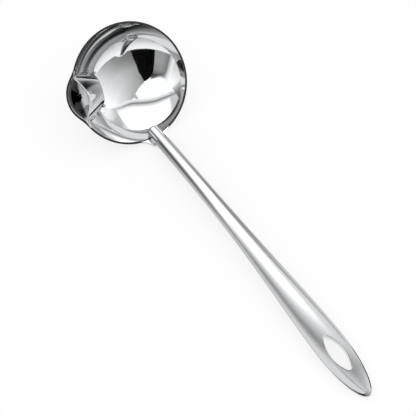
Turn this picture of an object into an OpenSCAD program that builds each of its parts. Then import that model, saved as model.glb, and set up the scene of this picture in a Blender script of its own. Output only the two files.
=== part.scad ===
// Stainless soup ladle with a welded-in pouring baffle, lying at rest on a table.
// Every piece is drawn in the bowl's own frame, with the rim plane at z = 0 and the
// handle running towards +x, and laid() then tips it into its resting pose.

/* [Bowl] */
// Inside radius of the rim
rim_r = 45; // [40:1:52]
// Depth from the rim plane to the inside of the bottom
bowl_depth = 26; // [23:1:30]
// Thickness of the bowl's sheet
bowl_sheet = 1.2; // [1:0.1:1.5]

/* [Pouring lip] */
// Direction of the lip round the bowl's axis, from the handle
lip_turn = -103; // [-110:1:-90]
// Half of the lip's width, measured across the rim
lip_half_w = 17.2; // [14:0.2:19]
// How far the lip reaches out past the rim circle
lip_reach = 5.4; // [3:0.2:7]
// How far down the wall the lip is pressed out
lip_drop = 12; // [9:1:14]

/* [Baffle] */
// Direction of the baffle's middle round the bowl's axis, from the handle
baffle_turn = -100; // [-106:1:-92]
// Distance of the top edge's middle from the bowl's axis
baffle_top = 35; // [32:0.5:37]
// Distance of the bottom edge from the bowl's axis
baffle_bottom = 18.5; // [16:0.5:21]
// Lean of the baffle's middle line from the bowl's axis
baffle_lean = 54; // [51:1:56]
// Half of the cone angle that the baffle is rolled to
baffle_cone = 40; // [38:1:42]
// Radius of the cone at the top edge's middle
baffle_roll = 24.5; // [23:0.5:28]
// Half of the cone angle out to the flanges' outer edges
flange_cone = 46.5; // [45:0.5:49]
// Thickness of the baffle's sheet
baffle_sheet = 0.8; // [0.6:0.1:1.0]
// How far the baffle's top edge sits below the rim plane
baffle_inset = 0.2; // [0:0.1:1]
// How far the flanges' ends sit below the rim plane
flange_inset = 1.6; // [1:0.2:3]

/* [Spot welds] */
// Radius of a spot weld's nugget
spot_r = 1.1; // [0.8:0.1:1.4]
// Height of a nugget above the flange
spot_h = 0.35; // [0.2:0.05:0.5]
// Distances of the spot welds from the bowl's axis, the lower pair first
spot_radii = [23, 30.5];
// Angles of the spot welds to each side of the baffle's middle, the lower pair first
spot_turns = [35, 34.5];

/* [Neck] */
// Angle of the handle above the rim plane where it leaves the bowl
neck_angle = 49.2; // [44:0.1:54]
// Outside diameter of the tube at the neck
neck_d = 10.4; // [9.4:0.2:11.4]
// Length of the bowl's tongue under the tube, past the rim
tongue_l = 7; // [6:0.5:9]
// Radius of the hollow corners from the rim to the tongue
tongue_fillet = 12; // [9:0.5:13]
// How deep the tube is let into the notch in the tongue
tube_sink = 2.4; // [1:0.1:2.5]
// Length of tube that reaches in over the rim
nose_l = 3; // [2:0.5:4]
// Height of the end cap's dome
cap_dome = 3.4; // [2.6:0.2:4.2]
// Length of the end cap's spigot inside the tube
cap_spigot = 6; // [4:0.5:8]
// Clearance of the spigot in the tube
cap_clearance = 0.15; // [0.1:0.05:0.25]
// Radius of the weld beads beside the tube
bead_r = 1.0; // [0.7:0.1:1.2]

/* [Handle] */
// Length of the handle from the rim to its tip
handle_l = 261.5; // [235:0.5:280]
// Radius of the handle's gentle bend
handle_bend = 1300; // [1050:5:1500]
// Widest part of the handle
handle_w = 24.6; // [22:0.2:27]
// Length of the pointed round tip
tip_l = 45; // [40:1:50]
// Thickness of the handle round the hanging hole
handle_t = 4.6; // [4.2:0.1:5.4]
// Thickness of the handle's wall
handle_wall = 0.9; // [0.7:0.1:1.0]
// Length of the rounding at the tip's edge
tip_round = 4; // [3:0.5:5]

/* [Hanging hole] */
// Length of the hole through the liner
hole_l = 29.2; // [26:0.2:32]
// Width of the hole through the liner
hole_w = 11.2; // [9.6:0.2:12.6]
// Radius of the hole's two ends
hole_end_r = 2.2; // [1.8:0.1:2.6]
// Distance from the hole's middle to the handle's tip
hole_to_tip = 37; // [35:0.5:40]
// Thickness of the liner's wall
liner_wall = 0.8; // [0.6:0.1:1.0]
// How far the liner stands out of each face
liner_proud = 0.3; // [0.1:0.05:0.5]

/* [Hidden] */
big = 200;
around = 40;
ball_r = (rim_r * rim_r + bowl_depth * bowl_depth) / (2 * bowl_depth);
ball_z = ball_r - bowl_depth;
neck_r = neck_d / 2;

// The lip is pressed by a second ball, whose circle in the rim plane passes through the lip's corners.
lip_chord = sqrt(rim_r * rim_r - lip_half_w * lip_half_w);
lip_rise = rim_r + lip_reach - lip_chord;
lip_plan_r = (lip_half_w * lip_half_w + lip_rise * lip_rise) / (2 * lip_rise);
lip_centre = rim_r + lip_reach - lip_plan_r;
lip_up = (lip_plan_r * lip_plan_r - lip_drop * lip_drop) / (2 * lip_drop);
lip_r = lip_up + lip_drop;

// The baffle's cone: its point, and the lean of its axis.
cone_run = baffle_roll / sin(baffle_cone);
cone_x = baffle_top - cone_run * sin(baffle_lean);
cone_z = -cone_run * cos(baffle_lean);
cone_lean = baffle_lean + baffle_cone;

// A bead lies in the corner between the tongue and the tube.
bead_out = sqrt(pow(neck_d / 2, 2) - pow(neck_d / 2 - tube_sink - bead_r / 3, 2)) + bead_r / 2;

// The handle's middle line: straight over the tongue, then a large arc.
neck_run = tongue_l + 1;
tongue_dip = 0.6;
seat_z = neck_r - tube_sink;
neck_x = rim_r + bowl_sheet / 2;
start_x = neck_x - seat_z * sin(neck_angle);
start_z = seat_z * cos(neck_angle);
function lean(s) = neck_angle - (s <= neck_run ? 0 : (s - neck_run) / handle_bend * 180 / PI);
function line_x(s) = start_x + min(s, neck_run) * cos(neck_angle)
    + handle_bend * (sin(neck_angle) - sin(lean(s)));
function line_z(s) = start_z + min(s, neck_run) * sin(neck_angle)
    + handle_bend * (cos(lean(s)) - cos(neck_angle));

// The handle's width and thickness along its middle line.
taper_l = handle_l - tip_l;
function ease(x) = x * x * (3 - 2 * x);
function part_way(s, a, b) = max(0, min(1, (s - a) / (b - a)));
function round_off(s, a, l) = s <= a ? 1 : sqrt(max(0, 1 - pow((s - a) / l, 2)));
function width(s) = (neck_d + (handle_w - neck_d)
    * (0.4 * part_way(s, neck_run, taper_l) + 0.6 * ease(pow(part_way(s, neck_run, taper_l), 1.9))))
    * round_off(s, taper_l, tip_l);
function thick(s) = (neck_d + (handle_t - neck_d) * ease(part_way(s, neck_run + 25, taper_l)))
    * round_off(s, handle_l - tip_round, tip_round);

// The resting pose: the bowl's ball and the handle's tip both touch the table.
tip_s = handle_l - tip_round;
tip_drop = handle_t / 2 * 1.08;
tip_far = sqrt(pow(line_x(tip_s), 2) + pow(line_z(tip_s) - ball_z, 2));
pitch = atan2(line_z(tip_s) - ball_z, line_x(tip_s))
    + asin((ball_r + bowl_sheet - tip_drop) / tip_far);
ball_x = ball_z * sin(pitch);
low_x = ball_x - ball_r - bowl_sheet;
high_x = line_x(handle_l) * cos(pitch) + line_z(handle_l) * sin(pitch);
rim_out_r = sqrt(pow(ball_r + bowl_sheet, 2) - ball_z * ball_z);
lip_out_r = sqrt(pow(lip_r + bowl_sheet, 2) - lip_up * lip_up);
low_y = lip_centre * sin(lip_turn) - lip_out_r;

module laid() {
    translate([-(low_x + high_x) / 2, -(low_y + rim_out_r) / 2, ball_r + bowl_sheet - ball_z * cos(pitch)])
        rotate([0, pitch, 0])
            children();
}

module ball(grow) {
    translate([0, 0, ball_z])
        sphere(r = ball_r + grow, $fn = 96);
}

module lip_ball(grow) {
    rotate([0, 0, lip_turn])
        translate([lip_centre, 0, lip_up])
            sphere(r = lip_r + grow, $fn = 72);
}

module below(z) {
    translate([-big / 2, -big / 2, z - big])
        cube([big, big, big]);
}

// Along the straight neck: x runs up the handle from the rim, z stands up from the tongue's face.
module along_neck() {
    translate([neck_x, 0, 0])
        rotate([0, -neck_angle, 0])
            children();
}

module neck_rod(r, from, to) {
    along_neck()
        translate([from, 0, seat_z])
            rotate([0, 90, 0])
                cylinder(r = r, h = to - from, $fn = 64);
}

// Seen from above the rim: straight sides that run into the rim through two hollow corners.
module tongue_plan() {
    half = neck_r + tongue_fillet;
    reach = neck_x + tongue_fillet;
    root = neck_x * half / reach - 0.1;
    difference() {
        translate([neck_x - 6, -root])
            square([6 + tongue_l * cos(neck_angle), 2 * root]);
        for (side = [-1, 1])
            translate([sqrt(reach * reach - half * half), side * half])
                circle(r = tongue_fillet, $fn = 64);
    }
}

// The tongue is a piece of a cone round the bowl's axis, so it starts along the rim's curve.
module tongue_cone(r) {
    h = tongue_dip + tongue_l;
    translate([0, 0, -tongue_dip])
        cylinder(h = h, r1 = r - tongue_dip / tan(neck_angle), r2 = r + tongue_l / tan(neck_angle), $fn = 96);
}

module tongue() {
    difference() {
        intersection() {
            translate([0, 0, -tongue_dip])
                linear_extrude(height = tongue_dip + tongue_l)
                    tongue_plan();
            tongue_cone(neck_x + bowl_sheet / sin(neck_angle));
        }
        tongue_cone(neck_x);
        ball(0);
    }
}

module bowl() {
    color("silver")
        laid()
            difference() {
                union() {
                    difference() {
                        union() {
                            intersection() {
                                ball(bowl_sheet);
                                below(0);
                            }
                            intersection() {
                                lip_ball(bowl_sheet);
                                below(0);
                            }
                        }
                        ball(0);
                        lip_ball(0);
                    }
                    tongue();
                }
                neck_rod(neck_r, -nose_l, tongue_l + 4);
                nose_dome();
            }
}

// A cone about the baffle's axis, its point moved along the axis by push.
module roll_cone(half_angle, push) {
    reach = 90;
    rotate([0, 0, baffle_turn])
        translate([cone_x, 0, cone_z])
            rotate([0, cone_lean, 0])
                translate([0, 0, push])
                    cylinder(h = reach, r1 = 0, r2 = reach * tan(half_angle), $fn = 96);
}

module outside_of(x) {
    rotate([0, 0, baffle_turn])
        translate([x, -big / 2, -big / 2])
            cube([big, big, big]);
}

module pouring_baffle() {
    color("gainsboro")
        laid()
            intersection() {
                union() {
                    difference() {
                        intersection() {
                            ball(0);
                            roll_cone(baffle_cone, 0);
                            below(-baffle_inset);
                        }
                        roll_cone(baffle_cone, baffle_sheet / sin(baffle_cone));
                    }
                    difference() {
                        intersection() {
                            ball(0);
                            roll_cone(flange_cone, 0);
                            below(-flange_inset);
                        }
                        ball(-baffle_sheet);
                        roll_cone(baffle_cone, 0);
                    }
                }
                outside_of(baffle_bottom);
            }
}

module baffle_spot_welds() {
    color("darkgray")
        laid()
            for (k = [0, 1], side = [-1, 1])
                rotate([0, 0, baffle_turn + side * spot_turns[k]])
                    translate([0, 0, ball_z])
                        rotate([0, 180 - asin(spot_radii[k] / ball_r), 0])
                            translate([0, 0, ball_r - baffle_sheet - spot_h])
                                cylinder(r = spot_r, h = spot_h, $fn = 32);
}

function ring(s, w, t) = [for (k = [0 : around - 1])
    [line_x(s) - t / 2 * sin(k * 360 / around) * sin(lean(s)),
        w / 2 * cos(k * 360 / around),
        line_z(s) + t / 2 * sin(k * 360 / around) * cos(lean(s))]];
function join(lists) = [for (l = lists) for (v = l) v];

// Stations along the tube: the neck, the long taper, the tip and the tip's rounded edge.
taper_steps = 18;
tip_turns = [10 : 9 : 64];
edge_turns = [0 : 15 : 75];
cavity_end = handle_l - tip_round;
skin_s = concat([-nose_l, 0, neck_run], [for (k = [1 : taper_steps]) neck_run + (taper_l - neck_run) * k / taper_steps],
    [for (a = tip_turns) taper_l + tip_l * sin(a)], [for (a = edge_turns) handle_l - tip_round * (1 - sin(a))]);
cavity_s = concat([-nose_l, 0, neck_run], [for (k = [1 : taper_steps]) neck_run + (taper_l - neck_run) * k / taper_steps],
    [for (a = tip_turns) taper_l + (tip_l - tip_round) * sin(a)]);
function skin_band(first, i, k) = let (a = first + i * around, n = (k + 1) % around)
    [[a + k, a + n, a + around + k], [a + n, a + around + n, a + around + k]];
function flipped(faces) = [for (f = faces) [f[2], f[1], f[0]]];

module handle_tube() {
    rings = len(skin_s);
    holes = len(cavity_s);
    inner = rings * around + 1;
    points = concat(join([for (s = skin_s) ring(s, width(s), thick(s))]),
        [[line_x(handle_l), 0, line_z(handle_l)]],
        join([for (s = cavity_s) ring(s, width(s) - 2 * handle_wall, thick(s) - 2 * handle_wall)]),
        [[line_x(cavity_end), 0, line_z(cavity_end)]]);
    outside = concat(join([for (i = [0 : rings - 2]) join([for (k = [0 : around - 1]) skin_band(0, i, k)])]),
        [for (k = [0 : around - 1]) let (a = (rings - 1) * around) [a + k, a + (k + 1) % around, rings * around]]);
    inside = concat(join([for (i = [0 : holes - 2]) join([for (k = [0 : around - 1]) skin_band(inner, i, k)])]),
        [for (k = [0 : around - 1]) let (a = inner + (holes - 1) * around)
            [a + k, a + (k + 1) % around, inner + holes * around]]);
    mouth = join([for (k = [0 : around - 1]) let (n = (k + 1) % around)
        [[k, inner + k, n], [n, inner + k, inner + n]]]);
    color("silver")
        laid()
            difference() {
                polyhedron(points = points, faces = concat(outside, flipped(inside), mouth), convexity = 6);
                at_hole(-big / 20)
                    linear_extrude(height = big / 10)
                        oval(liner_wall);
            }
}

// The rounded end of the tube, over the rim.
module nose_dome() {
    dome_r = (neck_r * neck_r + cap_dome * cap_dome) / (2 * cap_dome);
    along_neck()
        translate([-nose_l, 0, seat_z])
            rotate([0, -90, 0])
                difference() {
                    translate([0, 0, cap_dome - dome_r])
                        sphere(r = dome_r, $fn = 64);
                    below(0);
                }
}

module neck_end_cap() {
    color("silver")
        laid() {
            nose_dome();
            neck_rod(neck_r - handle_wall - cap_clearance, -nose_l, cap_spigot - nose_l);
        }
}

module weld_bead(side) {
    end_gap = 1.4;
    run = tongue_l - 2 * end_gap;
    color("darkgray")
        laid()
            difference() {
                along_neck()
                    difference() {
                        translate([end_gap, side * bead_out, bead_r / 3])
                            rotate([0, 90, 0]) {
                                cylinder(r = bead_r, h = run, $fn = 32);
                                sphere(r = bead_r, $fn = 32);
                                translate([0, 0, run])
                                    sphere(r = bead_r, $fn = 32);
                            }
                        below(0.1);
                    }
                neck_rod(neck_r, -nose_l, tongue_l + 4);
            }
}

module weld_bead_left() {
    weld_bead(-1);
}

module weld_bead_right() {
    weld_bead(1);
}

// The hole's frame: z stands up through the handle, x runs towards the tip.
module at_hole(z) {
    s = handle_l - hole_to_tip;
    translate([line_x(s), 0, line_z(s)])
        rotate([0, -lean(s), 0])
            translate([0, 0, z])
                children();
}

// A long oval with two large side arcs and two small end arcs, grown by grow.
module oval(grow) {
    half_l = hole_l / 2;
    half_w = hole_w / 2;
    end_x = half_l - hole_end_r;
    side_r = (end_x * end_x + half_w * half_w - hole_end_r * hole_end_r) / (2 * (half_w - hole_end_r));
    meet_x = end_x * (side_r + grow) / (side_r - hole_end_r);
    meet_w = hole_w + 2 * grow;
    intersection() {
        translate([0, side_r - half_w])
            circle(r = side_r + grow, $fn = 180);
        translate([0, half_w - side_r])
            circle(r = side_r + grow, $fn = 180);
        square([2 * meet_x, meet_w], center = true);
    }
    for (side = [-1, 1])
        translate([side * end_x, 0])
            circle(r = hole_end_r + grow, $fn = 48);
}

module hang_hole_liner() {
    h = handle_t + 2 * liner_proud;
    color("silver")
        laid()
            at_hole(-h / 2)
                linear_extrude(height = h)
                    difference() {
                        oval(liner_wall);
                        oval(0);
                    }
}

bowl();
pouring_baffle();
baffle_spot_welds();
handle_tube();
neck_end_cap();
weld_bead_left();
weld_bead_right();
hang_hole_liner();
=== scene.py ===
"""Soup ladle: a polished bowl with a pouring baffle, on a satin tube handle."""
import math

import bpy
from mathutils import Matrix, Vector


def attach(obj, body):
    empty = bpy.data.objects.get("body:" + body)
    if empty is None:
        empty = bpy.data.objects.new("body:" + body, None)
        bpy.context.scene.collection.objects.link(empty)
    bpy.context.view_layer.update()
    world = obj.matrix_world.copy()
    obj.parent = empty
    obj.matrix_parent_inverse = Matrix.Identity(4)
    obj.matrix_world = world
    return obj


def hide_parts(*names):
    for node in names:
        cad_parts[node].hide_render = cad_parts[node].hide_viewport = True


bl_info = {
    "name": "Soup Ladle",
    "version": (1, 0, 0),
    "blender": (4, 5, 0),
    "location": "3D View > Sidebar > Ladle",
    "description": "Dresses the packed ladle in polished and satin stainless steel",
    "category": "Add Mesh",
}

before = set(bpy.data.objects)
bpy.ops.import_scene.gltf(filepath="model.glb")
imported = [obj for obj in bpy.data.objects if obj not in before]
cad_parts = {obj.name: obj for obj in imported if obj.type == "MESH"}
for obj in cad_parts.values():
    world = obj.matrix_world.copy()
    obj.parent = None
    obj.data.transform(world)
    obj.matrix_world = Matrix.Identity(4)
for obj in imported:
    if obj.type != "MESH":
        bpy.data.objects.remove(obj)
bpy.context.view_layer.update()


def length(name, about, value):
    return bpy.props.FloatProperty(name=name, description=about, default=value, unit="LENGTH",
                                   subtype="DISTANCE", precision=5)


def angle(name, about, degrees):
    return bpy.props.FloatProperty(name=name, description=about, default=math.radians(degrees),
                                   unit="ROTATION", subtype="ANGLE")


def hex_colour(name, about, value):
    return bpy.props.StringProperty(name=name, description=about, default=value)


class LadleBowl(bpy.types.PropertyGroup):
    rim: length("Rim radius", "Inside radius of the rim", 0.045)
    depth: length("Depth", "From the rim plane to the inside of the bottom", 0.026)
    sheet: length("Sheet", "Thickness of the bowl's sheet", 0.0012)
    lip_turn: angle("Lip direction", "Direction of the lip round the bowl's axis, from the handle", -103)
    lip_half: length("Half lip", "Half of the lip's width across the rim", 0.0172)
    lip_reach: length("Lip reach", "How far the lip reaches past the rim circle", 0.0054)
    lip_drop: length("Lip drop", "How far down the wall the lip is pressed out", 0.012)
    lip_blend: length("Lip blend", "Width over which the lip blends into the wall", 0.003)
    edge: length("Edge radius", "Rounding of the rim's edges", 0.00052)
    # Where the painted shade behind the baffle begins.
    pocket: length("Pocket", "Distance from the axis at which the pocket behind the baffle starts", 0.0365)


class LadleBaffle(bpy.types.PropertyGroup):
    turn: angle("Direction", "Direction of the baffle's middle round the bowl's axis, from the handle", -100)
    top: length("Top edge", "Distance of the top edge's middle from the bowl's axis", 0.035)
    bottom: length("Bottom edge", "Distance of the bottom edge from the bowl's axis", 0.0185)
    lean: angle("Lean", "Lean of the baffle's middle line from the bowl's axis", 54)
    cone: angle("Half cone", "Half of the cone angle that the baffle is rolled to", 40)
    roll: length("Roll radius", "Radius of the cone at the top edge's middle", 0.0245)
    inset: length("Inset", "How far the top edge sits below the rim plane", 0.0002)
    sheet: length("Sheet", "Thickness of the baffle's sheet", 0.0008)
    flange: length("Flange", "Width of the flanges on the bowl's wall", 0.0052)


class LadleHandle(bpy.types.PropertyGroup):
    neck_angle: angle("Neck angle", "Angle above the rim plane where the handle leaves the bowl", 49.2)
    neck: length("Neck diameter", "Outside diameter of the tube at the neck", 0.0104)
    tongue: length("Tongue", "Length of the bowl's tongue past the rim", 0.007)
    fillet: length("Fillet", "Radius of the hollow corners from the rim to the tongue", 0.012)
    sink: length("Sink", "How deep the tube is let into the tongue", 0.0024)
    nose: length("Nose", "Length of tube that reaches in over the rim", 0.003)
    dome: length("Dome", "Height of the end cap's dome", 0.0034)
    reach: length("Length", "Length of the handle from the rim to its tip", 0.2615)
    bend: length("Bend radius", "Radius of the handle's gentle bend", 1.3)
    wide: length("Width", "Widest part of the handle", 0.0246)
    tip: length("Tip", "Length of the pointed round tip", 0.045)
    flat: length("Thickness", "Thickness of the handle round the hanging hole", 0.0046)
    tip_round: length("Tip rounding", "Length of the rounding at the tip's edge", 0.004)
    hole: length("Hole length", "Length of the hanging hole", 0.0292)
    hole_w: length("Hole width", "Width of the hanging hole", 0.0112)
    hole_end: length("Hole ends", "Radius of the hole's two ends", 0.0022)
    hole_back: length("Hole to tip", "Distance from the hole's middle to the handle's tip", 0.037)
    liner: length("Liner wall", "Thickness of the liner in the hole", 0.0008)
    proud: length("Liner edge", "How far the liner stands out of each face", 0.0003)


class LadleFinish(bpy.types.PropertyGroup):
    steel: hex_colour("Steel", "Colour of the clean steel", "#D9DADB")
    satin: hex_colour("Satin steel", "Colour of the satin handle", "#B4B5B6")
    # Painted shade: this dark colour is painted on the rim's cut edge and into the pocket behind the baffle,
    # standing in for the shade and dark reflections there.
    painted_shade_colour: hex_colour("Painted shade colour", "Painted shade colour behind the baffle and on the rim's cut edge", "#3E3D3C")
    weld: hex_colour("Weld", "Colour of the cleaned welds", "#B4B5B6")
    floor: hex_colour("Floor", "Colour of the floor", "#FFFFFF")


class LadleStage(bpy.types.PropertyGroup):
    elevation: angle("Elevation", "Height of the camera above the table", 59.72)
    turn: angle("Direction", "Direction of the camera round the part, from +X", -35.25)
    distance: length("Distance", "Distance of the camera", 1.0)
    aim_x: length("Aim along", "Where the camera looks, along the ladle", -0.01584)
    aim_y: length("Aim across", "Where the camera looks, across the ladle", -0.00623)
    aim_z: length("Aim height", "Where the camera looks, above the table", 0.015)
    focal: bpy.props.FloatProperty(name="Focal length", default=118.51,
                                   description="Focal length for pictures 36 mm wide, in mm")
    world: bpy.props.FloatProperty(name="Sky", default=1.0,
                                   description="Strength of the white surroundings")
    tent: bpy.props.FloatProperty(name="Cards", default=1.42,
                                  description="Brightness of the tent and the cards, which only steel shows")


def bowl():
    return bpy.context.scene.ladle_bowl


def baffle():
    return bpy.context.scene.ladle_baffle


def handle():
    return bpy.context.scene.ladle_handle


def finish():
    return bpy.context.scene.ladle_finish


# The handle's outline is a straight taper with a late swell on it, each with its share of the growth.
TAPER_SHARE = 0.4
SWELL_SHARE = 0.6
SWELL_POWER = 1.9
# How far the tube runs straight past the tongue, and from there round before it flattens.
STRAIGHT_PAST_TONGUE = 0.001
ROUND_RUN = 0.025
# How much deeper than half its thickness the sloping tip reaches down.
TIP_SLOPE = 1.08
# Corners round the tube, and the share of them that the hole's outline gives to its large arcs.
ROUND = 96
SIDE_SHARE = 0.6
# The share of the baffle's half width that is cone. The rest is flange, which lies this close to the wall.
CONE_SHARE = 0.62
FLANGE_GAP = 0.0001
# The floor lies a hair below the table plane, so that it doesn't cut into what rests on it.
FLOOR = -0.00005

# Where things are, in the bowl's own frame: rim plane at z = 0, handle towards +x.


def ball():
    """Radius of the ball that the bowl is a cap of, and its centre's height."""
    b = bowl()
    r = (b.rim ** 2 + b.depth ** 2) / (2 * b.depth)
    return r, r - b.depth


def lip_ball():
    """Distance of the lip's ball from the axis, its centre's height and its radius."""
    b = bowl()
    rise = b.rim + b.lip_reach - math.sqrt(b.rim ** 2 - b.lip_half ** 2)
    plan = (b.lip_half ** 2 + rise ** 2) / (2 * rise)
    up = (plan ** 2 - b.lip_drop ** 2) / (2 * b.lip_drop)
    return b.rim + b.lip_reach - plan, up, up + b.lip_drop


def neck():
    """Where the tube's axis crosses over the rim."""
    h = handle()
    seat = h.neck / 2 - h.sink
    x = bowl().rim + bowl().sheet / 2
    return Vector((x - seat * math.sin(h.neck_angle), 0, seat * math.cos(h.neck_angle)))


def straight():
    return handle().tongue + STRAIGHT_PAST_TONGUE


def lean(s):
    h = handle()
    return h.neck_angle - max(0, s - straight()) / h.bend


def line(s):
    """A point on the handle's middle line."""
    h = handle()
    start = neck()
    run = min(s, straight())
    x = start.x + run * math.cos(h.neck_angle) + h.bend * (math.sin(h.neck_angle) - math.sin(lean(s)))
    z = start.z + run * math.sin(h.neck_angle) + h.bend * (math.cos(lean(s)) - math.cos(h.neck_angle))
    return Vector((x, 0, z))


def part_way(s, a, b):
    return max(0.0, min(1.0, (s - a) / (b - a)))


def ease(x):
    return x * x * (3 - 2 * x)


def round_off(s, a, run):
    return 1.0 if s <= a else math.sqrt(max(0.0, 1 - ((s - a) / run) ** 2))


def width(s):
    h = handle()
    x = part_way(s, straight(), h.reach - h.tip)
    grown = TAPER_SHARE * x + SWELL_SHARE * ease(x ** SWELL_POWER)
    return (h.neck + (h.wide - h.neck) * grown) * round_off(s, h.reach - h.tip, h.tip)


def thick(s):
    h = handle()
    x = part_way(s, straight() + ROUND_RUN, h.reach - h.tip)
    return (h.neck + (h.flat - h.neck) * ease(x)) * round_off(s, h.reach - h.tip_round, h.tip_round)


def pitch():
    """How far the ladle tips forward until its bowl and its handle's tip lie on the table."""
    h = handle()
    r, up = ball()
    end = line(h.reach - h.tip_round)
    far = math.hypot(end.x, end.z - up)
    return math.atan2(end.z - up, end.x) + math.asin((r + bowl().sheet - h.flat / 2 * TIP_SLOPE) / far)


def laid():
    """From the bowl's own frame to the resting pose on the table."""
    r, up = ball()
    out = r + bowl().sheet
    b = pitch()
    end = line(handle().reach)
    low_x = up * math.sin(b) - out
    high_x = end.x * math.cos(b) + end.z * math.sin(b)
    rim = math.sqrt(out ** 2 - up ** 2)
    centre, lip_up, lip_r = lip_ball()
    low_y = centre * math.sin(bowl().lip_turn) - math.sqrt((lip_r + bowl().sheet) ** 2 - lip_up ** 2)
    shift = Vector((-(low_x + high_x) / 2, -(low_y + rim) / 2, out - up * math.cos(b)))
    return Matrix.Translation(shift) @ Matrix.Rotation(b, 4, "Y")


# Small helpers for modelling.


def start():
    if bpy.context.object and bpy.context.object.mode != "OBJECT":
        bpy.ops.object.mode_set(mode="OBJECT")
    bpy.ops.object.select_all(action="DESELECT")


def named(name):
    thing = bpy.context.object
    thing.name = name
    thing.data.name = name
    bpy.ops.object.transform_apply(location=True, rotation=True, scale=True)
    return thing


def modify(thing, kind, **settings):
    bpy.context.view_layer.objects.active = thing
    change = thing.modifiers.new(kind.title(), kind)
    for key, value in settings.items():
        setattr(change, key, value)
    bpy.ops.object.modifier_apply(modifier=change.name)


def tidy_normals(thing):
    bpy.context.view_layer.objects.active = thing
    bpy.ops.object.mode_set(mode="EDIT")
    bpy.ops.mesh.select_all(action="SELECT")
    bpy.ops.mesh.remove_doubles(threshold=0.000001)
    bpy.ops.mesh.normals_make_consistent(inside=False)
    bpy.ops.object.mode_set(mode="OBJECT")


def lay_down(thing, slot, material, *nodes, sharp=40):
    """Puts a finished piece in its resting place and hands it to the frame."""
    thing.data.transform(laid())
    thing.select_set(True)
    bpy.context.view_layer.objects.active = thing
    bpy.ops.object.shade_smooth_by_angle(angle=math.radians(sharp))
    thing.data.materials.clear()
    thing.data.materials.append(material)
    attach(thing, "root")
    if nodes:
        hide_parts(*nodes)
    start()


def sheet_grid(name, across, along, shape):
    """A grid of the given number of cells, each corner moved to shape(u, v) with u and v from 0 to 1."""
    start()
    bpy.ops.mesh.primitive_grid_add(x_subdivisions=across, y_subdivisions=along, size=1, location=(0, 0, 0))
    thing = named(name)
    for v in thing.data.vertices:
        v.co = shape(v.co.x + 0.5, v.co.y + 0.5)
    return thing


# Materials.


def light_of(level):
    """A level of the sRGB scale, from 0 to 1, as an amount of light."""
    return level / 12.92 if level <= 0.04045 else ((level + 0.055) / 1.055) ** 2.4


def linear(code):
    """An sRGB hex colour as linear RGBA."""
    return [light_of(int(code[i:i + 2], 16) / 255) for i in (1, 3, 5)] + [1.0]


def node(tree, kind, settings=None, **links):
    """Adds a node: settings go to its properties or inputs by name, links join inputs to other outputs."""
    made = tree.nodes.new(kind)
    for key, value in (settings or {}).items():
        if key in made.inputs.keys():
            made.inputs[key].default_value = value
        else:
            setattr(made, key, value)
    for key, value in links.items():
        tree.links.new(value, made.inputs[key.replace("_", " ")])
    return made


def metal(name, colour, roughness, spread, grain_mm, stretch, bump):
    """Bare stainless steel with the fine marks of its finishing, its colour darkened toward a painted shade
    colour where a mesh attribute asks for it.
    """
    made = bpy.data.materials.new(name)
    made.use_nodes = True
    tree = made.node_tree
    tree.nodes.clear()
    where = node(tree, "ShaderNodeTexCoord")
    placed = node(tree, "ShaderNodeMapping", {"Scale": stretch}, Vector=where.outputs["Object"])
    grain = node(tree, "ShaderNodeTexNoise", {"Scale": 1000 / grain_mm, "Detail": 3.0, "Roughness": 0.6},
                 Vector=placed.outputs["Vector"])
    rough = node(tree, "ShaderNodeMapRange", {"From Min": 0.3, "From Max": 0.7, "To Min": roughness - spread,
                                              "To Max": roughness + spread}, Value=grain.outputs["Fac"])
    dents = node(tree, "ShaderNodeBump", {"Strength": bump, "Distance": 0.00002}, Height=grain.outputs["Fac"])
    # Painted shade: a mesh attribute mixes the steel's colour toward the dark painted shade colour.
    reach = node(tree, "ShaderNodeAttribute", {"attribute_name": "painted_shade_mask"})
    tone = node(tree, "ShaderNodeMix", {"data_type": "RGBA"}, Factor=reach.outputs["Fac"])
    tone.inputs[6].default_value = linear(colour)
    tone.inputs[7].default_value = linear(finish().painted_shade_colour)
    shader = node(tree, "ShaderNodeBsdfPrincipled", {"Metallic": 1.0}, Roughness=rough.outputs["Result"],
                  Normal=dents.outputs["Normal"])
    tree.links.new(tone.outputs[2], shader.inputs["Base Color"])
    node(tree, "ShaderNodeOutputMaterial", Surface=shader.outputs["BSDF"])
    return made


def polished_steel():
    # Mirror-polished stainless sheet: clear reflections, softened a little by fine buffing marks.
    name = "polished_stainless"
    return bpy.data.materials.get(name) or metal(
        name, finish().steel, roughness=0.05, spread=0.015, grain_mm=1.5, stretch=(1, 1, 1), bump=0.05)


def satin_steel():
    # Satin stainless tube: brushed along its length, so that highlights spread softly across it.
    name = "satin_stainless"
    return bpy.data.materials.get(name) or metal(
        name, finish().satin, roughness=0.13, spread=0.02, grain_mm=0.8, stretch=(0.04, 1, 1), bump=0.12)


def weld_steel():
    # Cleaned weld metal: duller and a little rippled.
    name = "cleaned_weld"
    return bpy.data.materials.get(name) or metal(
        name, finish().weld, roughness=0.3, spread=0.08, grain_mm=0.5, stretch=(1, 1, 1), bump=0.5)


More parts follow.
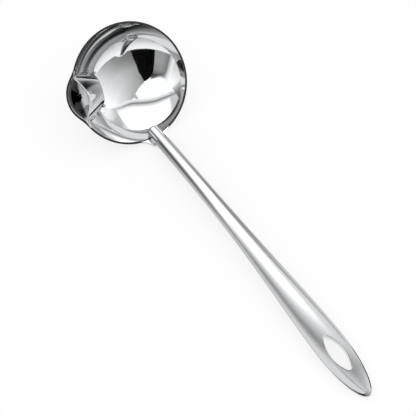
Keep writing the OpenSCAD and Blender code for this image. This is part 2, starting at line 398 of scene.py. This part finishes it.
class LADLE_OT_bowl(bpy.types.Operator):
    """Presses the bowl and its pouring lip from one round sheet"""
    bl_idname = "ladle.bowl"
    bl_label = "Bowl"

    def execute(self, context):
        b = bowl()
        r, up = ball()
        centre, lip_up, lip_r = lip_ball()
        start()
        bpy.ops.mesh.primitive_uv_sphere_add(segments=256, ring_count=240, radius=r, location=(0, 0, up))
        thing = named("bowl_shell")
        bpy.ops.object.mode_set(mode="EDIT")
        bpy.ops.mesh.select_all(action="SELECT")
        spare = 0.002
        bpy.ops.mesh.bisect(plane_co=(0, 0, spare), plane_no=(0, 0, 1), clear_outer=True)
        bpy.ops.object.mode_set(mode="OBJECT")
        for v in thing.data.vertices:
            if v.co.z < lip_up - lip_r:
                continue
            turn = math.atan2(v.co.y, v.co.x) - b.lip_turn
            lip_plan = lip_r ** 2 - (v.co.z - lip_up) ** 2 - (centre * math.sin(turn)) ** 2
            if lip_plan <= 0 or math.cos(turn) <= 0:
                continue
            wall = math.hypot(v.co.x, v.co.y)
            lip = centre * math.cos(turn) + math.sqrt(lip_plan)
            blend = max(b.lip_blend - abs(wall - lip), 0) / b.lip_blend
            out = (max(wall, lip) + blend ** 2 * b.lip_blend / 4) / wall
            v.co.x *= out
            v.co.y *= out
        modify(thing, "SOLIDIFY", thickness=b.sheet, offset=1.0)
        bpy.ops.object.mode_set(mode="EDIT")
        bpy.ops.mesh.select_all(action="SELECT")
        bpy.ops.mesh.bisect(plane_co=(0, 0, 0), plane_no=(0, 0, 1), use_fill=True, clear_outer=True)
        bpy.ops.object.mode_set(mode="OBJECT")
        modify(thing, "BEVEL", width=b.edge, segments=3, limit_method="ANGLE", angle_limit=math.radians(40))
        # Painted shade: the rim's flat cut edge is painted fully dark, and the inside behind the baffle fades
        # to dark, standing in for the dark reflections and the shade in that pocket.
        pocket = thing.data.attributes.new("painted_shade_mask", "FLOAT", "POINT")
        towards_lip = Vector((math.cos(b.lip_turn), math.sin(b.lip_turn), 0))
        fade = 0.002
        for v in thing.data.vertices:
            if v.co.z > -b.edge and v.normal.z > 0.3:
                pocket.data[v.index].value = 1
            elif v.co.z < -b.sheet and v.normal.z > 0.05:
                far = (v.co.dot(towards_lip) - b.pocket) / fade
                aside = (b.lip_half - abs(v.co.cross(towards_lip).z)) / fade
                pocket.data[v.index].value = ease(max(0, min(1, far, aside)))
        lay_down(thing, "polished_steel", polished_steel(), "bowl", sharp=60)
        return {"FINISHED"}


class LADLE_OT_tongue(bpy.types.Operator):
    """Draws the bowl's tongue out from the rim to both sides of the tube"""
    bl_idname = "ladle.tongue"
    bl_label = "Tongue"

    def execute(self, context):
        h = handle()
        rim = bowl().rim + bowl().sheet / 2
        half = h.neck / 2 + h.fillet
        reach = rim + h.fillet
        corner_x = math.sqrt(reach ** 2 - half ** 2)
        end_x = rim + h.tongue * math.cos(h.neck_angle)
        turn_a = math.atan2(half, corner_x)
        turn_b = math.acos((corner_x - end_x) / h.fillet)

        def shape(u, v):
            turn = turn_a + (turn_b - turn_a) * u
            side_x = corner_x - h.fillet * math.cos(turn)
            side_y = half - h.fillet * math.sin(turn)
            w = 2 * v - 1
            x = (rim + (end_x - rim) * u) * (1 - w * w) + side_x * w * w
            y = side_y * w
            return Vector((x, y, (math.hypot(x, y) - rim) * math.tan(h.neck_angle)))

        thing = sheet_grid("bowl_tongue", 20, 80, shape)
        modify(thing, "SOLIDIFY", thickness=bowl().sheet, offset=-1.0)
        modify(thing, "BEVEL", width=0.0003, segments=2, limit_method="ANGLE", angle_limit=math.radians(50))
        lay_down(thing, "polished_steel", polished_steel(), "bowl")
        return {"FINISHED"}


class LADLE_OT_baffle(bpy.types.Operator):
    """Rolls the baffle to a cone and folds its flanges onto the bowl's wall"""
    bl_idname = "ladle.baffle"
    bl_label = "Baffle"

    def execute(self, context):
        f = baffle()
        r, up = ball()
        middle = Vector((0, 0, up))
        run = f.roll / math.sin(f.cone)
        point = Vector((f.top - run * math.sin(f.lean), 0, -run * math.cos(f.lean)))
        axis_turn = Matrix.Rotation(f.lean + f.cone, 3, "Y")

        def ray(turn):
            return axis_turn @ Vector((math.sin(f.cone) * math.cos(turn), math.sin(f.cone) * math.sin(turn),
                                       math.cos(f.cone)))

        def level(p, t):
            """Zero on the level curve t, from the top edge at 0 to the bottom edge at 1."""
            return (1 - t) * (-f.inset - p.z) - t * (p.x - f.bottom)

        def on_cone(turn, t):
            d = ray(turn)
            a = level(point, t)
            b = level(point + d, t) - a
            return point - d * (a / b)

        def side_turn(t):
            high = math.pi
            step = math.radians(2)
            full = math.pi * 1.9
            while (on_cone(high, t) - middle).length < r and high < full:
                high += step
            low = high - step
            for _ in range(30):
                mid = (low + high) / 2
                if (on_cone(mid, t) - middle).length < r:
                    low = mid
                else:
                    high = mid
            return low - math.pi

        def shape(u, v):
            t = 0.002 + 0.996 * v
            w = 2 * u - 1
            most = side_turn(t)
            if abs(w) <= CONE_SHARE:
                return on_cone(math.pi + most * w / CONE_SHARE, t)
            edge = on_cone(math.pi + most * math.copysign(1, w), t)
            away = (edge - middle).normalized()
            out = Vector((0, math.copysign(1, edge.y), 0))
            out = (out - away * out.dot(away)).normalized()
            p = edge + out * f.flange * (abs(w) - CONE_SHARE) / (1 - CONE_SHARE)
            return middle + (p - middle).normalized() * (r - FLANGE_GAP)

        thing = sheet_grid("baffle_sheet", 90, 30, shape)
        thing.data.transform(Matrix.Rotation(f.turn, 4, "Z"))
        modify(thing, "SOLIDIFY", thickness=f.sheet, offset=1.0)
        modify(thing, "SUBSURF", levels=1, render_levels=1)
        tidy_normals(thing)
        lay_down(thing, "baffle_steel", polished_steel(), "pouring_baffle", sharp=60)
        return {"FINISHED"}


class LADLE_OT_handle(bpy.types.Operator):
    """Draws the tube out along its bend, flattening it towards the tip, and cuts the hanging hole"""
    bl_idname = "ladle.handle"
    bl_label = "Handle"

    def execute(self, context):
        h = handle()
        start()
        bpy.ops.mesh.primitive_circle_add(vertices=ROUND, radius=h.neck / 2, fill_type="NOTHING")
        thing = named("handle_skin")
        near, far = 0.0005, 0.0022
        stops = [-h.nose + near * k for k in range(3)]
        stops += [far * k for k in range(1, int((h.reach - h.tip) / far))]
        stops += [h.reach - h.tip + h.tip * math.sin(math.radians(a)) for a in range(0, 90, 2)]
        stops = sorted(stops)

        def place(v, index, s):
            turn = 2 * math.pi * index / ROUND
            n = Vector((-math.sin(lean(s)), 0, math.cos(lean(s))))
            v.co = line(s) + Vector((0, width(s) / 2 * math.cos(turn), 0)) + n * thick(s) / 2 * math.sin(turn)

        for i, v in enumerate(thing.data.vertices):
            place(v, i, stops[0])
        for s in stops[1:]:
            bpy.ops.object.mode_set(mode="EDIT")
            bpy.ops.mesh.extrude_edges_move()
            bpy.ops.object.mode_set(mode="OBJECT")
            for i, v in enumerate(thing.data.vertices[-ROUND:]):
                place(v, i, s)
        bpy.ops.object.mode_set(mode="EDIT")
        bpy.ops.mesh.edge_face_add()
        bpy.ops.mesh.select_all(action="SELECT")
        bpy.ops.mesh.region_to_loop()
        bpy.ops.mesh.edge_face_add()
        bpy.ops.object.mode_set(mode="OBJECT")
        tidy_normals(thing)
        cutter = oval_prism("hole_cutter", h.liner, tall=0.03)
        modify(thing, "BOOLEAN", operation="DIFFERENCE", object=cutter, solver="EXACT")
        bpy.data.objects.remove(cutter)
        lay_down(thing, "satin_steel", satin_steel(), "handle_tube", sharp=40)
        return {"FINISHED"}


def oval(grow, index, count):
    """A point on the hole's outline: two large side arcs and two small end arcs."""
    h = handle()
    end_x = h.hole / 2 - h.hole_end
    half = h.hole_w / 2
    side_r = (end_x ** 2 + half ** 2 - h.hole_end ** 2) / (2 * (half - h.hole_end))
    meet = math.asin(end_x / (side_r - h.hole_end))
    quarter = count // 4
    k = index % quarter
    share = k / quarter
    if share < SIDE_SHARE:
        turn = meet * share / SIDE_SHARE
        x = (side_r + grow) * math.sin(turn)
        y = (side_r + grow) * math.cos(turn) - (side_r - half)
    else:
        turn = meet + (math.pi / 2 - meet) * (share - SIDE_SHARE) / (1 - SIDE_SHARE)
        x = end_x + (h.hole_end + grow) * math.sin(turn)
        y = (h.hole_end + grow) * math.cos(turn)
    return x, y


def outline(grow, count):
    """The whole outline, in order."""
    quarter = [oval(grow, k, count) for k in range(count // 4)]
    tip = (handle().hole / 2 + grow, 0.0)
    half = quarter + [tip] + [(x, -y) for x, y in reversed(quarter[1:])]
    bottom = (0.0, -quarter[0][1])
    return half + [bottom] + [(-x, y) for x, y in reversed(half[1:])]


def at_hole():
    s = handle().reach - handle().hole_back
    return Matrix.Translation(line(s)) @ Matrix.Rotation(-lean(s), 4, "Y")


def oval_prism(name, grow, tall):
    points = outline(grow, ROUND)
    start()
    bpy.ops.mesh.primitive_circle_add(vertices=len(points), radius=0.01, fill_type="NGON")
    thing = named(name)
    for v, (x, y) in zip(thing.data.vertices, points):
        v.co = (x, y, -tall / 2)
    bpy.ops.object.mode_set(mode="EDIT")
    bpy.ops.mesh.select_all(action="SELECT")
    bpy.ops.mesh.extrude_region_move(TRANSFORM_OT_translate={"value": (0, 0, tall)})
    bpy.ops.object.mode_set(mode="OBJECT")
    tidy_normals(thing)
    thing.data.transform(at_hole())
    return thing


class LADLE_OT_fittings(bpy.types.Operator):
    """Makes the end cap over the neck and the liner in the hanging hole"""
    bl_idname = "ladle.fittings"
    bl_label = "End cap and liner"

    def execute(self, context):
        h = handle()
        start()
        bpy.ops.mesh.primitive_uv_sphere_add(segments=96, ring_count=64, radius=1)
        cap = named("neck_cap")
        bpy.ops.object.mode_set(mode="EDIT")
        bpy.ops.mesh.select_all(action="SELECT")
        bpy.ops.mesh.bisect(plane_co=(0, 0, 0), plane_no=(0, 0, 1), clear_outer=True, use_fill=True)
        bpy.ops.object.mode_set(mode="OBJECT")
        cap.data.transform(Matrix.Diagonal((h.neck / 2, h.neck / 2, h.dome, 1)))
        facing = Matrix.Rotation(math.pi / 2 - h.neck_angle, 4, "Y")
        cap.data.transform(Matrix.Translation(line(-h.nose)) @ facing)
        tidy_normals(cap)
        lay_down(cap, "cap_steel", satin_steel(), "neck_end_cap", sharp=60)
        tall = h.flat + 2 * h.proud
        points = outline(h.liner, ROUND)
        start()
        bpy.ops.mesh.primitive_circle_add(vertices=len(points), radius=0.01, fill_type="NOTHING")
        liner = named("hole_liner")
        for v, (x, y) in zip(liner.data.vertices, points):
            v.co = (x, y, -tall / 2)
        bpy.ops.object.mode_set(mode="EDIT")
        bpy.ops.mesh.select_all(action="SELECT")
        bpy.ops.mesh.extrude_edges_move(TRANSFORM_OT_translate={"value": (0, 0, tall)})
        bpy.ops.object.mode_set(mode="OBJECT")
        tidy_normals(liner)
        modify(liner, "SOLIDIFY", thickness=h.liner, offset=-1.0)
        modify(liner, "BEVEL", width=0.00025, segments=3, limit_method="ANGLE", angle_limit=math.radians(60))
        liner.data.transform(at_hole())
        lay_down(liner, "cap_steel", satin_steel(), "hang_hole_liner")
        for name in ("weld_bead_left", "weld_bead_right", "baffle_spot_welds"):
            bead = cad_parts[name]
            bead.data.materials.clear()
            bead.data.materials.append(weld_steel())
        return {"FINISHED"}


# The studio's cards, as they are seen from the bowl. Each has its distance in metres and rows of corners, and
# a corner is its direction from +X, its height above the table, both in degrees, and its grey from 0 to 255.
# A second grey is for light that goes from one wall of the bowl to the other before it is seen.

CARDS = {
    "card_black": (1.2, (
        ((-51, -9, 6, 60), (-15.5, -9, 16, 16)),
        ((-51, 8, 4, 100), (-18.5, 8, 12, 8)),
        ((-51.5, 18, 4, 150), (-21, 18, 12, 12)),
        ((-51.5, 32, 4, 175), (-23.5, 32, 12, 140)),
        ((-49, 40, 6, 195), (-28, 40, 12, 195)),
        ((-37, 48, 10, 205), (-33, 48, 16, 205)),
    )),
    "card_side": (1.25, (
        ((-82, -12, 250), (-76, -12, 190), (-73, -12, 120), (-64, -12, 150), (-50, -12, 140)),
        ((-82, 10, 250), (-76.5, 10, 200), (-73, 10, 124), (-65, 10, 155), (-50, 10, 158)),
        ((-83, 24, 250), (-77, 24, 200), (-74, 24, 126), (-66, 26, 145), (-50, 26, 140)),
        ((-84, 32, 252), (-78, 31, 215), (-75, 31, 150), (-64, 33, 80), (-50, 37, 40)),
        ((-85, 36, 252), (-81, 36, 240), (-78, 35, 235), (-67, 36, 200), (-48, 44, 120)),
    )),
    "card_screen": (1.3, (
        ((-24, -12, 95, 60), (-12, -12, 105, 80), (0, -12, 115, 95), (12, -12, 130, 120), (30, -12, 165),
         (56, -12, 240)),
        ((-24, 8, 115, 35), (-12, 8, 130, 60), (0, 8, 140, 95), (12, 8, 158, 130), (30, 8, 196, 165),
         (58, 8, 250)),
        ((-26, 17, 130, 15), (-12, 17, 150, 25), (0, 17, 161, 40), (12, 17, 178, 45), (30, 17, 205, 95),
         (59, 17, 250)),
        ((-28, 25, 144, 30), (-12, 25, 168, 40), (0, 25, 180, 55), (12, 25, 195, 75), (30, 25, 213, 150),
         (60, 25, 250)),
        ((-31, 32, 140, 150), (-12, 32, 171), (0, 32, 185), (12, 32, 198), (30, 32, 215), (62, 32, 250)),
        ((-34, 42, 132), (-14, 42, 172), (0, 42, 188), (12, 42, 200), (30, 42, 218), (64, 42, 250)),
        ((-34, 50, 140), (-18, 54, 172), (-2, 58, 176), (14, 58, 190), (34, 56, 208), (68, 54, 230)),
        ((-30, 52, 170), (-14, 59, 180), (2, 64, 168), (18, 68, 166), (38, 66, 190), (70, 62, 235)),
    )),
    "card_top": (0.8, (
        ((8, 79, 185), (16, 79, 180), (26, 79, 178)),
        ((3, 57, 180), (8, 58, 178), (14, 58, 178)),
    )),
}

# Upright cards beside the ladle: how far across, then rows of corners along it and up in metres, with a grey.
WALLS = {
    "card_left": (-0.5, (
        ((-1.6, -0.25, 20), (-0.72, -0.25, 40), (-0.42, -0.25, 95), (-0.33, -0.25, 110), (-0.22, -0.25, 130),
         (-0.14, -0.25, 180), (-0.09, -0.25, 240)),
        ((-1.6, 0.2, 20), (-0.72, 0.2, 60), (-0.42, 0.15, 70), (-0.33, 0.15, 90), (-0.22, 0.15, 125),
         (-0.14, 0.15, 180), (-0.09, 0.15, 240)),
        ((-1.6, 0.6, 50), (-0.72, 0.5, 150), (-0.42, 0.44, 70), (-0.33, 0.42, 90), (-0.22, 0.42, 125),
         (-0.14, 0.42, 180), (-0.09, 0.42, 240)),
    )),
    "card_right": (0.6, (
        ((-0.58, -0.15, 245), (-0.4, -0.15, 200), (-0.3, -0.15, 180), (-0.22, -0.15, 150), (-0.1, -0.15, 170),
         (-0.03, -0.15, 240), (0.14, -0.15, 250)),
        ((-0.58, 0.28, 245), (-0.4, 0.28, 200), (-0.3, 0.28, 185), (-0.22, 0.28, 155), (-0.1, 0.28, 180),
         (-0.03, 0.28, 240), (0.14, 0.28, 250)),
        ((-0.58, 0.38, 247), (-0.4, 0.38, 210), (-0.3, 0.38, 190), (-0.22, 0.38, 165), (-0.1, 0.38, 185),
         (-0.03, 0.38, 225), (0.14, 0.38, 245)),
        ((-0.58, 0.61, 252), (-0.4, 0.61, 245), (-0.3, 0.61, 235), (-0.22, 0.61, 215), (-0.1, 0.61, 190),
         (0.05, 0.61, 185), (0.14, 0.61, 185)),
    )),
    "card_far": (0.6, (
        ((0.17, -0.15, 8), (0.3, -0.15, 5), (0.42, -0.15, 8)),
        ((0.17, 0.24, 8), (0.3, 0.25, 5), (0.42, 0.2, 8)),
    )),
}

# The ceiling: its height and turn, and its reach along the dark bar and across it, from the bowl's middle.
CEILING = 0.75
CEILING_TURN = 60
CEILING_ALONG = (-1.3, 1.46)
CEILING_ACROSS = 0.75
# The bar's sharp edge as places along and across, then greys from it across the bar to the bright soft box.
SEAM = ((-0.47, -0.12), (-0.24, -0.088), (0.12, -0.084), (0.3, -0.073), (0.53, 0.05), (0.86, 0.235),
        (1.46, 0.53))
SEAM_SMOOTH = 0.05
HALO = -0.08
BAR = ((HALO, 248), (-0.03, 215), (-0.008, 195), (-0.002, 145), (0.014, 130), (0.032, 160), (0.05, 198),
       (0.08, 230), (0.12, 265), (0.17, 340))
# Along the bar: how strong it stays, and how bright the soft box is.
BAR_LEFT = ((0.3, 1), (0.45, 0.8), (0.6, 0.6), (1.46, 0.55))
SOFT_BOX = ((-0.7, 200), (-0.5, 330), (0.34, 330), (0.42, 262), (0.6, 250), (1.46, 252))

# The white tent round it all: greys by the height above the table in degrees.
TENT = ((-10, 200), (8, 212), (30, 255))

# The table top below the bowl, darker in its shadow: greys by the distance from the bowl's middle. It is
# round, with a strip below the handle.
TABLE = ((0.03, 120), (0.06, 215), (0.1, 238), (0.19, 246))
TABLE_REACH = 0.19
STRIP_HALF = 0.014
STRIP_END = 0.5


def through(x, points):
    """The grey at x, on straight lines through the points."""
    if x <= points[0][0]:
        return points[0][1]
    for (a, low), (b, high) in zip(points, points[1:]):
        if x <= b:
            return low + (high - low) * (x - a) / (b - a)
    return points[-1][1]


def seam(p):
    """Where the bar's sharp edge is across, at a place along, with its corners smoothed."""
    near = [through(p + SEAM_SMOOTH * step, SEAM) for step in range(-2, 3)]
    return sum(near) / len(near)


def ceiling(p, q):
    """The ceiling's grey at a place along and across."""
    grey = through(q - seam(p), BAR)
    if grey < 250:
        grey = 250 - (250 - grey) * through(p, BAR_LEFT)
    return min(grey, through(p, SOFT_BOX))


def glow_paint():
    # A card lit or left dark in the studio: its greys are kept at its corners.
    paint = bpy.data.materials.get("studio_card")
    if paint:
        return paint
    paint = bpy.data.materials.new("studio_card")
    paint.use_nodes = True
    tree = paint.node_tree
    tree.nodes.clear()
    once = node(tree, "ShaderNodeAttribute", {"attribute_name": "grey"})
    twice = node(tree, "ShaderNodeAttribute", {"attribute_name": "grey_again"})
    ray = node(tree, "ShaderNodeLightPath")
    level = node(tree, "ShaderNodeMapRange", {"From Min": 1.0, "From Max": 2.0},
                 Value=ray.outputs["Ray Depth"], To_Min=once.outputs["Fac"], To_Max=twice.outputs["Fac"])
    light = node(tree, "ShaderNodeEmission", Strength=level.outputs["Result"])
    node(tree, "ShaderNodeOutputMaterial", Surface=light.outputs["Emission"])
    return paint


def only_in_shine(thing):
    thing.data.materials.append(glow_paint())
    thing.visible_camera = False
    thing.visible_diffuse = False
    thing.visible_shadow = False
    thing.visible_transmission = False


def shine(thing, grey, again=None):
    """Keeps a card's greys at its corners, from their places, and lets only the steel's shine show it."""
    tent = bpy.context.scene.ladle_stage.tent
    for name, shown in (("grey", grey), ("grey_again", again or grey)):
        shade = thing.data.attributes.new(name, "FLOAT", "POINT")
        for v in thing.data.vertices:
            shade.data[v.index].value = tent * light_of(shown(v.co) / 255)
    only_in_shine(thing)


def card(name, corners):
    """A card with its corners in rows, each with its place and its grey or greys."""
    across, along = len(corners[0]) - 1, len(corners) - 1
    thing = sheet_grid(name, across, along, lambda u, v: corners[round(v * along)][round(u * across)][0])
    flat = [corner for row in corners for corner in row]

    def at(place):
        return min(flat, key=lambda corner: (corner[0] - place).length)

    shine(thing, lambda place: at(place)[1], lambda place: at(place)[-1])


def towards(turn, rise, far):
    t, r = math.radians(turn), math.radians(rise)
    return Vector((math.cos(r) * math.cos(t), math.cos(r) * math.sin(t), math.sin(r))) * far


def overhead(middle):
    """The ceiling above the bowl's middle."""
    above = Vector((middle.x, middle.y, CEILING))
    along = towards(CEILING_TURN, 0, 1)
    across = towards(CEILING_TURN + 90, 0, 1)
    a, b = CEILING_ALONG

    def shape(u, v):
        p = a + (b - a) * u
        q = seam(p) + HALO
        return above + along * p + across * (q + (CEILING_ACROSS - q) * v ** 2)

    thing = sheet_grid("card_ceiling", 90, 140, shape)
    shine(thing, lambda place: ceiling((place - above).dot(along), (place - above).dot(across)))


def table_top(middle):
    """The part of the floor that the steel shows: round below the bowl, with a strip below the handle."""

    def shape(u, v):
        turn = 2 * math.pi * u
        far = TABLE_REACH * v
        if abs(math.sin(turn)) * far < STRIP_HALF and math.cos(turn) > 0:
            far = STRIP_END * v
        return Vector((middle.x + far * math.cos(turn), middle.y + far * math.sin(turn), FLOOR))

    thing = sheet_grid("table", 144, 8, shape)
    shine(thing, lambda place: through((place.xy - middle.xy).length, TABLE))


def white_paint():
    # A matt white table: on camera rays mostly plain white, so that only a soft part of the shadow is seen.
    paint = bpy.data.materials.new("white_table")
    paint.use_nodes = True
    tree = paint.node_tree
    shader = tree.nodes["Principled BSDF"]
    shader.inputs["Base Color"].default_value = linear(finish().floor)
    shader.inputs["Roughness"].default_value = 0.9
    shader.inputs["Specular IOR Level"].default_value = 0.0
    ray = node(tree, "ShaderNodeLightPath")
    part = node(tree, "ShaderNodeMapRange", {"To Max": 0.72}, Value=ray.outputs["Is Camera Ray"])
    white = node(tree, "ShaderNodeEmission", {"Strength": 1.0})
    mix = node(tree, "ShaderNodeMixShader", Fac=part.outputs["Result"])
    tree.links.new(shader.outputs["BSDF"], mix.inputs[1])
    tree.links.new(white.outputs["Emission"], mix.inputs[2])
    tree.links.new(mix.outputs["Shader"], tree.nodes["Material Output"].inputs["Surface"])
    return paint


def white_sky(strength):
    world = bpy.data.worlds.new("white_surroundings")
    world.use_nodes = True
    world.node_tree.nodes["Background"].inputs["Color"].default_value = (1, 1, 1, 1)
    world.node_tree.nodes["Background"].inputs["Strength"].default_value = strength
    return world


def lay_floor():
    start()
    bpy.ops.mesh.primitive_plane_add(size=6, location=(0, 0, FLOOR))
    floor = named("floor")
    floor.data.materials.append(white_paint())
    floor.visible_glossy = False


def pitch_tent():
    start()
    bpy.ops.mesh.primitive_uv_sphere_add(segments=48, ring_count=24, radius=2.9)
    tent = named("tent")
    shine(tent, lambda place: through(math.degrees(math.asin(place.z / place.length)), TENT))


class LADLE_OT_stage(bpy.types.Operator):
    """Sets the floor, the soft white surroundings, the cards and the camera"""
    bl_idname = "ladle.stage"
    bl_label = "Stage"

    def execute(self, context):
        s = context.scene.ladle_stage
        scene = context.scene
        scene.view_settings.view_transform = "Standard"
        scene.world = white_sky(s.world)
        middle = laid().translation
        lay_floor()
        table_top(middle)
        pitch_tent()
        for name, (far, rows) in CARDS.items():
            card(name, [[(middle + towards(turn, rise, far), *greys) for turn, rise, *greys in row]
                        for row in rows])
        for name, (across, rows) in WALLS.items():
            card(name, [[(Vector((middle.x + x, middle.y + across, z)), grey) for x, z, grey in row]
                        for row in rows])
        overhead(middle)
        e, d = s.elevation, s.turn
        back = Vector((math.cos(e) * math.cos(d), math.cos(e) * math.sin(d), math.sin(e)))
        right = Vector((-math.sin(d), math.cos(d), 0))
        up = back.cross(right)
        aim = Vector((s.aim_x, s.aim_y, s.aim_z))
        bpy.ops.object.camera_add()
        camera = context.object
        camera.name = "camera"
        camera.data.lens = s.focal
        camera.data.sensor_width = 36
        turn = Matrix((right, up, back)).transposed().to_4x4()
        camera.matrix_world = Matrix.Translation(aim + back * s.distance) @ turn
        scene.camera = camera
        return {"FINISHED"}


class LADLE_PT_panel(bpy.types.Panel):
    """Sizes and steps of the ladle"""
    bl_label = "Ladle"
    bl_idname = "LADLE_PT_panel"
    bl_space_type = "VIEW_3D"
    bl_region_type = "UI"
    bl_category = "Ladle"

    def draw(self, context):
        for group in GROUPS:
            box = self.layout.box()
            for key in GROUPS[group].__annotations__:
                box.prop(getattr(context.scene, group), key)
        for step in STEPS:
            self.layout.operator(step.bl_idname)


GROUPS = {"ladle_bowl": LadleBowl, "ladle_baffle": LadleBaffle, "ladle_handle": LadleHandle,
          "ladle_finish": LadleFinish, "ladle_stage": LadleStage}
STEPS = (LADLE_OT_bowl, LADLE_OT_tongue, LADLE_OT_baffle, LADLE_OT_handle, LADLE_OT_fittings, LADLE_OT_stage)


def register():
    for group in GROUPS:
        bpy.utils.register_class(GROUPS[group])
        setattr(bpy.types.Scene, group, bpy.props.PointerProperty(type=GROUPS[group]))
    for step in STEPS:
        bpy.utils.register_class(step)
    bpy.utils.register_class(LADLE_PT_panel)


def unregister():
    bpy.utils.unregister_class(LADLE_PT_panel)
    for step in reversed(STEPS):
        bpy.utils.unregister_class(step)
    for group in GROUPS:
        delattr(bpy.types.Scene, group)
        bpy.utils.unregister_class(GROUPS[group])


def main():
    register()
    bpy.ops.ladle.bowl()
    bpy.ops.ladle.tongue()
    bpy.ops.ladle.baffle()
    bpy.ops.ladle.handle()
    bpy.ops.ladle.fittings()
    bpy.ops.ladle.stage()


if __name__ == "__main__":
    main()
